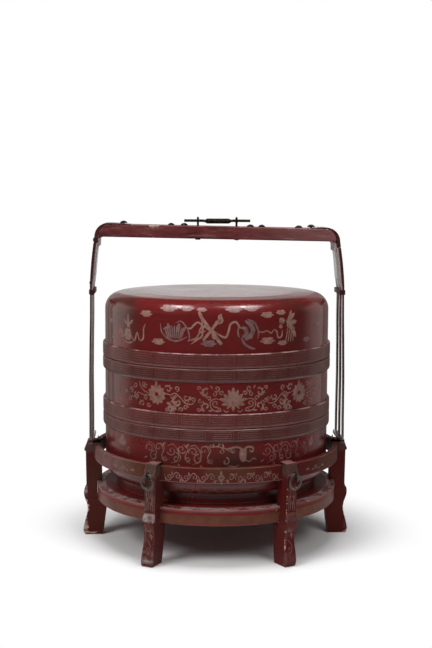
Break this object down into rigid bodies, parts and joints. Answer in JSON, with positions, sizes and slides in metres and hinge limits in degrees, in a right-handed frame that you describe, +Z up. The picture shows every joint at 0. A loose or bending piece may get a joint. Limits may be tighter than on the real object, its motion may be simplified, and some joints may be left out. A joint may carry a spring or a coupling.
{
  "type": "lacquer wedding basket",
  "caption": "Round lacquered wooden basket with stacked trays and a domed lid, in a legged ring stand with a tall fixed handle.",
  "frame": {"origin": "on the floor under the middle of the stand", "axes": "+Z up, -Y to the front, +X to the right seen from the front; the handle spans along X"},
  "size_m": [0.4824, 0.44, 0.5766],
  "materials": {
    "lacquer": "gloss red-brown lacquer with painted ornament, worn",
    "band": "dull brown-red lacquer with a scored fret",
    "stand": "worn red-brown lacquer, satin",
    "handle": "maroon lacquer over wood, satin",
    "iron": "dark aged iron"
  },
  "bodies": {
    "stand": {"base_ring": "stand", "base_board": "stand", "upper_hoop": "stand", "leg_right": "stand", "leg_back_right": "stand", "leg_back_left": "stand", "leg_left": "stand", "leg_front_left": "stand", "leg_front_right": "stand", "ring_eye_back_right": "iron", "ring_eye_back_left": "iron", "ring_eye_front_left": "iron", "ring_eye_front_right": "iron", "handle_bar": "handle", "bar_nail_1": "iron", "bar_nail_2": "iron", "bar_nail_3": "iron", "bar_nail_4": "iron", "bar_nail_5": "iron", "bar_nail_6": "iron", "bar_nail_7": "iron", "plank_left": "handle", "collar_left": "handle", "foot_rail_left": "handle", "rod_left_front": "handle", "rod_left_middle": "handle", "rod_left_back": "handle", "corner_nail_left": "iron", "plank_nail_left": "iron", "bail_eye_left": "iron", "plank_right": "handle", "collar_right": "handle", "foot_rail_right": "handle", "rod_right_front": "handle", "rod_right_middle": "handle", "rod_right_back": "handle", "corner_nail_right": "iron", "plank_nail_right": "iron", "bail_eye_right": "iron"},
    "lower_tray": {"lower_tray": "lacquer", "lower_tray_rim_band": "band"},
    "middle_tray": {"middle_tray": "lacquer", "middle_tray_bottom_band": "band", "middle_tray_rim_band": "band"},
    "lid": {"lid": "lacquer", "lid_rim_band": "band"},
    "bail": {"bail": "iron"},
    "ring_front_left": {"ring_front_left": "iron"},
    "ring_front_right": {"ring_front_right": "iron"},
    "ring_back_left": {"ring_back_left": "iron"},
    "ring_back_right": {"ring_back_right": "iron"}
  },
  "joints": [
    {"name": "lower_tray_lift", "type": "slide", "parent": "stand", "child": "lower_tray", "axis": [0, 0, 1], "range_m": [0, 0.01]},
    {"name": "middle_tray_lift", "type": "slide", "parent": "lower_tray", "child": "middle_tray", "axis": [0, 0, 1], "range_m": [0, 0.02]},
    {"name": "lid_lift", "type": "slide", "parent": "middle_tray", "child": "lid", "axis": [0, 0, 1], "range_m": [0, 0.06]},
    {"name": "bail_swing", "type": "hinge", "parent": "stand", "child": "bail", "pos_m": [0, 0, 0.5695], "axis": [-1, 0, 0], "range_deg": [0, 180]},
    {"name": "ring_front_left_swing", "type": "hinge", "parent": "stand", "child": "ring_front_left", "pos_m": [-0.122, -0.21131, 0.1573], "axis": [-0.866, 0.5, 0], "range_deg": [-10, 170]},
    {"name": "ring_front_right_swing", "type": "hinge", "parent": "stand", "child": "ring_front_right", "pos_m": [0.122, -0.21131, 0.1573], "axis": [-0.866, -0.5, 0], "range_deg": [-10, 170]},
    {"name": "ring_back_left_swing", "type": "hinge", "parent": "stand", "child": "ring_back_left", "pos_m": [-0.122, 0.21131, 0.1573], "axis": [0.866, 0.5, 0], "range_deg": [-10, 170]},
    {"name": "ring_back_right_swing", "type": "hinge", "parent": "stand", "child": "ring_back_right", "pos_m": [0.122, 0.21131, 0.1573], "axis": [0.866, -0.5, 0], "range_deg": [-10, 170]}
  ]
}
